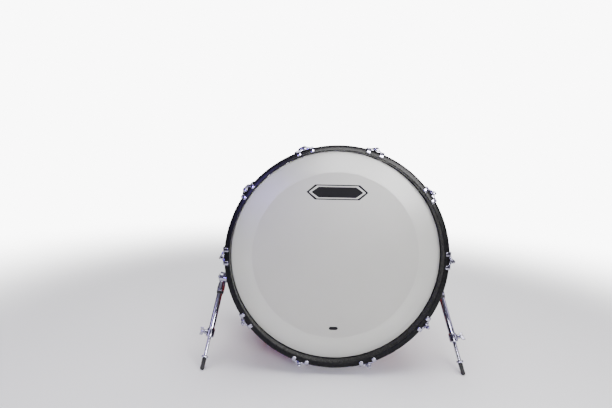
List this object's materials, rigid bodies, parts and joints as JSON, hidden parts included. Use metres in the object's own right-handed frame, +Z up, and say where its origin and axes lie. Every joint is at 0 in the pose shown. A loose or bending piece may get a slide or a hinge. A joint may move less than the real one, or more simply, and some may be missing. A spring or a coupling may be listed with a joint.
{
  "type": "bass drum",
  "caption": "Bass drum with a wrapped shell, wooden hoops, claw hooks on key rods, and two fold-out telescopic spurs; stands on its rear hoop and spur feet.",
  "frame": {"origin": "on the floor under the middle of the drum's bounding box", "axes": "+X to the drum's right-hand spur as seen facing the front head, +Y from the front head towards the rear (playing) head, +Z up; the drum's own axis is tipped back 3.0 degrees about X"},
  "size_m": [0.7384, 0.4784, 0.6081],
  "materials": {
    "shell_wood": "clear-sealed maple ply",
    "red_sparkle_wrap": "gloss red sparkle",
    "black_lacquer": "gloss black lacquer on wood",
    "coated_film": "satin coated film",
    "clear_film": "frosted film",
    "bare_aluminium": "satin",
    "chrome": "polished",
    "plain_steel": "zinc plated",
    "black_rubber": "matt",
    "black_plastic": "satin"
  },
  "bodies": {
    "drum": {"shell": "shell_wood", "shell_wrap": "red_sparkle_wrap", "vent_grommet": "chrome", "front_hoop": "black_lacquer", "rear_hoop": "black_lacquer", "front_head": "coated_film", "rear_head": "coated_film", "front_flesh_hoop": "bare_aluminium", "rear_flesh_hoop": "bare_aluminium", "front_muffle_ring": "clear_film", "rear_muffle_ring": "clear_film", "front_lugs": "chrome", "rear_lugs": "chrome", "lug_gaskets": "black_rubber", "swivel_nuts": "plain_steel", "lug_screws": "plain_steel", "front_claws": "chrome", "rear_claws": "chrome", "rod_washers": "chrome", "spur_gaskets": "black_rubber", "left_spur_bracket": "chrome", "right_spur_bracket": "chrome", "spur_bracket_screws": "chrome", "spur_pivot_bolts": "chrome"},
    "front_tension_rod_01": {"front_rod_01": "chrome"},
    "front_tension_rod_02": {"front_rod_02": "chrome"},
    "front_tension_rod_03": {"front_rod_03": "chrome"},
    "front_tension_rod_04": {"front_rod_04": "chrome"},
    "front_tension_rod_05": {"front_rod_05": "chrome"},
    "front_tension_rod_06": {"front_rod_06": "chrome"},
    "front_tension_rod_07": {"front_rod_07": "chrome"},
    "front_tension_rod_08": {"front_rod_08": "chrome"},
    "front_tension_rod_09": {"front_rod_09": "chrome"},
    "front_tension_rod_10": {"front_rod_10": "chrome"},
    "rear_tension_rod_01": {"rear_rod_01": "chrome"},
    "rear_tension_rod_02": {"rear_rod_02": "chrome"},
    "rear_tension_rod_03": {"rear_rod_03": "chrome"},
    "rear_tension_rod_04": {"rear_rod_04": "chrome"},
    "rear_tension_rod_05": {"rear_rod_05": "chrome"},
    "rear_tension_rod_06": {"rear_rod_06": "chrome"},
    "rear_tension_rod_07": {"rear_rod_07": "chrome"},
    "rear_tension_rod_08": {"rear_rod_08": "chrome"},
    "rear_tension_rod_09": {"rear_rod_09": "chrome"},
    "rear_tension_rod_10": {"rear_rod_10": "chrome"},
    "left_leg": {"left_spur_knuckle": "chrome", "left_spur_collar": "black_plastic", "left_spur_tube": "chrome", "left_spur_clamp": "chrome"},
    "left_extension": {"left_spur_rod": "chrome", "left_spur_lock_nut": "chrome"},
    "left_foot": {"left_spur_foot": "black_rubber"},
    "left_wing": {"left_spur_wing_screw": "chrome"},
    "right_leg": {"right_spur_knuckle": "chrome", "right_spur_collar": "black_plastic", "right_spur_tube": "chrome", "right_spur_clamp": "chrome"},
    "right_extension": {"right_spur_rod": "chrome", "right_spur_lock_nut": "chrome"},
    "right_foot": {"right_spur_foot": "black_rubber"},
    "right_wing": {"right_spur_wing_screw": "chrome"}
  },
  "joints": [
    {"name": "front_rod_01_turn", "type": "hinge", "parent": "drum", "child": "front_tension_rod_01", "pos_m": [-0.09224, -0.19953, 0.59888], "axis": [0, -0.9986, 0.0526], "continuous": true},
    {"name": "front_rod_02_turn", "type": "hinge", "parent": "drum", "child": "front_tension_rod_02", "pos_m": [-0.24149, -0.20523, 0.4906], "axis": [0, -0.9986, 0.0526], "continuous": true},
    {"name": "front_rod_03_turn", "type": "hinge", "parent": "drum", "child": "front_tension_rod_03", "pos_m": [-0.2985, -0.21445, 0.31538], "axis": [0, -0.9986, 0.0526], "continuous": true},
    {"name": "front_rod_04_turn", "type": "hinge", "parent": "drum", "child": "front_tension_rod_04", "pos_m": [-0.24149, -0.22368, 0.14017], "axis": [0, -0.9986, 0.0526], "continuous": true},
    {"name": "front_rod_05_turn", "type": "hinge", "parent": "drum", "child": "front_tension_rod_05", "pos_m": [-0.09224, -0.22938, 0.03188], "axis": [0, -0.9986, 0.0526], "continuous": true},
    {"name": "front_rod_06_turn", "type": "hinge", "parent": "drum", "child": "front_tension_rod_06", "pos_m": [0.09224, -0.22938, 0.03188], "axis": [0, -0.9986, 0.0526], "continuous": true},
    {"name": "front_rod_07_turn", "type": "hinge", "parent": "drum", "child": "front_tension_rod_07", "pos_m": [0.24149, -0.22368, 0.14017], "axis": [0, -0.9986, 0.0526], "continuous": true},
    {"name": "front_rod_08_turn", "type": "hinge", "parent": "drum", "child": "front_tension_rod_08", "pos_m": [0.2985, -0.21445, 0.31538], "axis": [0, -0.9986, 0.0526], "continuous": true},
    {"name": "front_rod_09_turn", "type": "hinge", "parent": "drum", "child": "front_tension_rod_09", "pos_m": [0.24149, -0.20523, 0.4906], "axis": [0, -0.9986, 0.0526], "continuous": true},
    {"name": "front_rod_10_turn", "type": "hinge", "parent": "drum", "child": "front_tension_rod_10", "pos_m": [0.09224, -0.19953, 0.59888], "axis": [0, -0.9986, 0.0526], "continuous": true},
    {"name": "rear_rod_01_turn", "type": "hinge", "parent": "drum", "child": "rear_tension_rod_01", "pos_m": [0.09224, 0.22938, 0.5763], "axis": [0, 0.9986, -0.0526], "continuous": true},
    {"name": "rear_rod_02_turn", "type": "hinge", "parent": "drum", "child": "rear_tension_rod_02", "pos_m": [0.24149, 0.22368, 0.46802], "axis": [0, 0.9986, -0.0526], "continuous": true},
    {"name": "rear_rod_03_turn", "type": "hinge", "parent": "drum", "child": "rear_tension_rod_03", "pos_m": [0.2985, 0.21445, 0.2928], "axis": [0, 0.9986, -0.0526], "continuous": true},
    {"name": "rear_rod_04_turn", "type": "hinge", "parent": "drum", "child": "rear_tension_rod_04", "pos_m": [0.24149, 0.20523, 0.11759], "axis": [0, 0.9986, -0.0526], "continuous": true},
    {"name": "rear_rod_05_turn", "type": "hinge", "parent": "drum", "child": "rear_tension_rod_05", "pos_m": [0.09224, 0.19953, 0.00931], "axis": [0, 0.9986, -0.0526], "continuous": true},
    {"name": "rear_rod_06_turn", "type": "hinge", "parent": "drum", "child": "rear_tension_rod_06", "pos_m": [-0.09224, 0.19953, 0.00931], "axis": [0, 0.9986, -0.0526], "continuous": true},
    {"name": "rear_rod_07_turn", "type": "hinge", "parent": "drum", "child": "rear_tension_rod_07", "pos_m": [-0.24149, 0.20523, 0.11759], "axis": [0, 0.9986, -0.0526], "continuous": true},
    {"name": "rear_rod_08_turn", "type": "hinge", "parent": "drum", "child": "rear_tension_rod_08", "pos_m": [-0.2985, 0.21445, 0.2928], "axis": [0, 0.9986, -0.0526], "continuous": true},
    {"name": "rear_rod_09_turn", "type": "hinge", "parent": "drum", "child": "rear_tension_rod_09", "pos_m": [-0.24149, 0.22368, 0.46802], "axis": [0, 0.9986, -0.0526], "continuous": true},
    {"name": "rear_rod_10_turn", "type": "hinge", "parent": "drum", "child": "rear_tension_rod_10", "pos_m": [-0.09224, 0.22938, 0.5763], "axis": [0, 0.9986, -0.0526], "continuous": true},
    {"name": "left_spur_fold", "type": "hinge", "parent": "drum", "child": "left_leg", "pos_m": [-0.30846, -0.08863, 0.2231], "axis": [0.9819, -0.01, -0.1893], "range_deg": [0, 113.1]},
    {"name": "left_spur_length", "type": "slide", "parent": "left_leg", "child": "left_extension", "axis": [-0.1717, -0.4697, -0.866], "range_m": [-0.045, 0.045]},
    {"name": "left_foot_turn", "type": "hinge", "parent": "left_extension", "child": "left_foot", "pos_m": [-0.3515, -0.20639, 0.006], "axis": [-0.1717, -0.4697, -0.866], "continuous": true},
    {"name": "left_wing_turn", "type": "hinge", "parent": "left_leg", "child": "left_wing", "pos_m": [-0.33553, -0.16271, 0.08653], "axis": [0.9819, -0.01, -0.1893], "continuous": true},
    {"name": "right_spur_fold", "type": "hinge", "parent": "drum", "child": "right_leg", "pos_m": [0.30846, -0.08863, 0.2231], "axis": [0.9819, 0.01, 0.1893], "range_deg": [0, 113.1]},
    {"name": "right_spur_length", "type": "slide", "parent": "right_leg", "child": "right_extension", "axis": [0.1717, -0.4697, -0.866], "range_m": [-0.045, 0.045]},
    {"name": "right_foot_turn", "type": "hinge", "parent": "right_extension", "child": "right_foot", "pos_m": [0.3515, -0.20639, 0.006], "axis": [0.1717, -0.4697, -0.866], "continuous": true},
    {"name": "right_wing_turn", "type": "hinge", "parent": "right_leg", "child": "right_wing", "pos_m": [0.33553, -0.16271, 0.08653], "axis": [0.9819, 0.01, 0.1893], "continuous": true}
  ]
}
